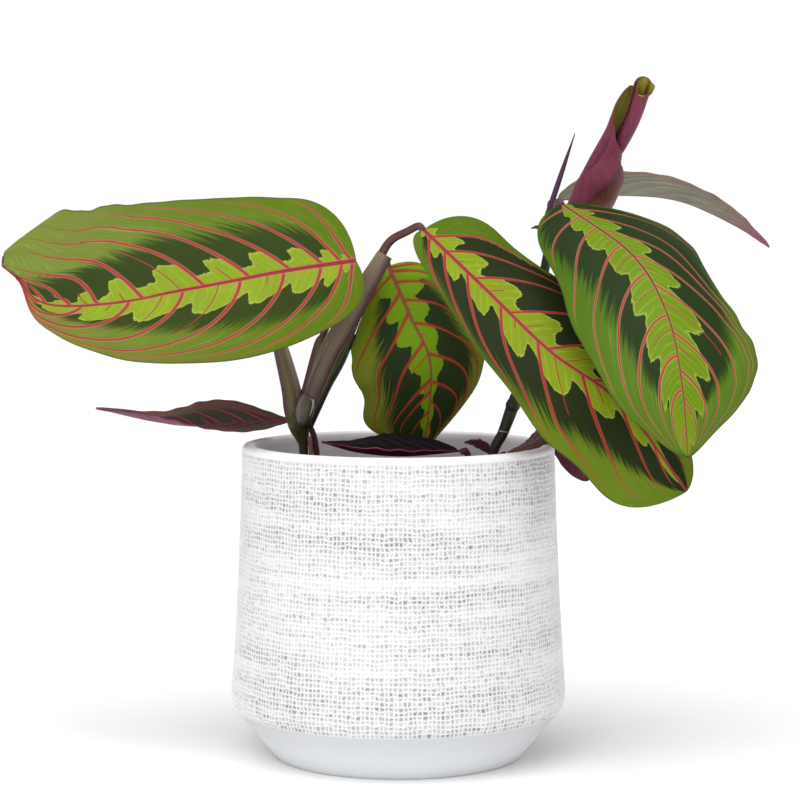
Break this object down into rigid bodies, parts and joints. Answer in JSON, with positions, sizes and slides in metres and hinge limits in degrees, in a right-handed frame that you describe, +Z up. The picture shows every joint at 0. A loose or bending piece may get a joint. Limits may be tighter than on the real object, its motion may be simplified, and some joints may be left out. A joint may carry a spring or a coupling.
{
  "type": "potted prayer plant",
  "caption": "Prayer plant with broad patterned leaves on arching stalks, in a round white pot with a net-like relief and a chamfered foot.",
  "frame": {"origin": "middle of the pot's flat underside", "axes": "+Z up out of the pot; +X along the plant's widest spread, to the right as seen from the front; -Y towards the front, the side pictured"},
  "size_m": [0.3134, 0.1716, 0.2719],
  "materials": {
    "pot": "matt white ceramic with grey pits between raised threads",
    "soil": "damp dark brown potting soil",
    "stem_left": "smooth olive-brown and purple stems and sheaths with fine lines",
    "stem_right": "smooth dark green stem with a paler joint",
    "stalk": "smooth dark red leaf stalks",
    "leaf_green": "satin green leaf with lime feather, dark blotches and red veins, purple underneath",
    "leaf_grey": "satin grey-green leaf underside with fine reddish veins",
    "leaf_dark": "satin dark old leaf with red veins, magenta underneath",
    "leaf_purple": "satin purple-magenta young leaf"
  },
  "bodies": {
    "root": {"pot": "pot", "soil": "soil", "shoot_left": "stem_left", "shoot_right": "stem_right", "stalk_low_left": "stalk", "stalk_in_pot": "stalk", "stalk_over_rim": "stalk", "stalk_small": "stalk", "leaf_large_left": "leaf_green", "leaf_middle_right": "leaf_green", "leaf_upper_right": "leaf_green", "leaf_centre_back": "leaf_green", "leaf_hidden_back": "leaf_green", "leaf_edge_on_right": "leaf_grey", "leaf_low_left": "leaf_dark", "leaf_in_pot": "leaf_dark", "leaf_over_rim": "leaf_purple", "leaf_small": "leaf_purple", "leaf_rolled": "leaf_purple", "leaf_spear": "leaf_purple"}
  },
  "joints": []
}
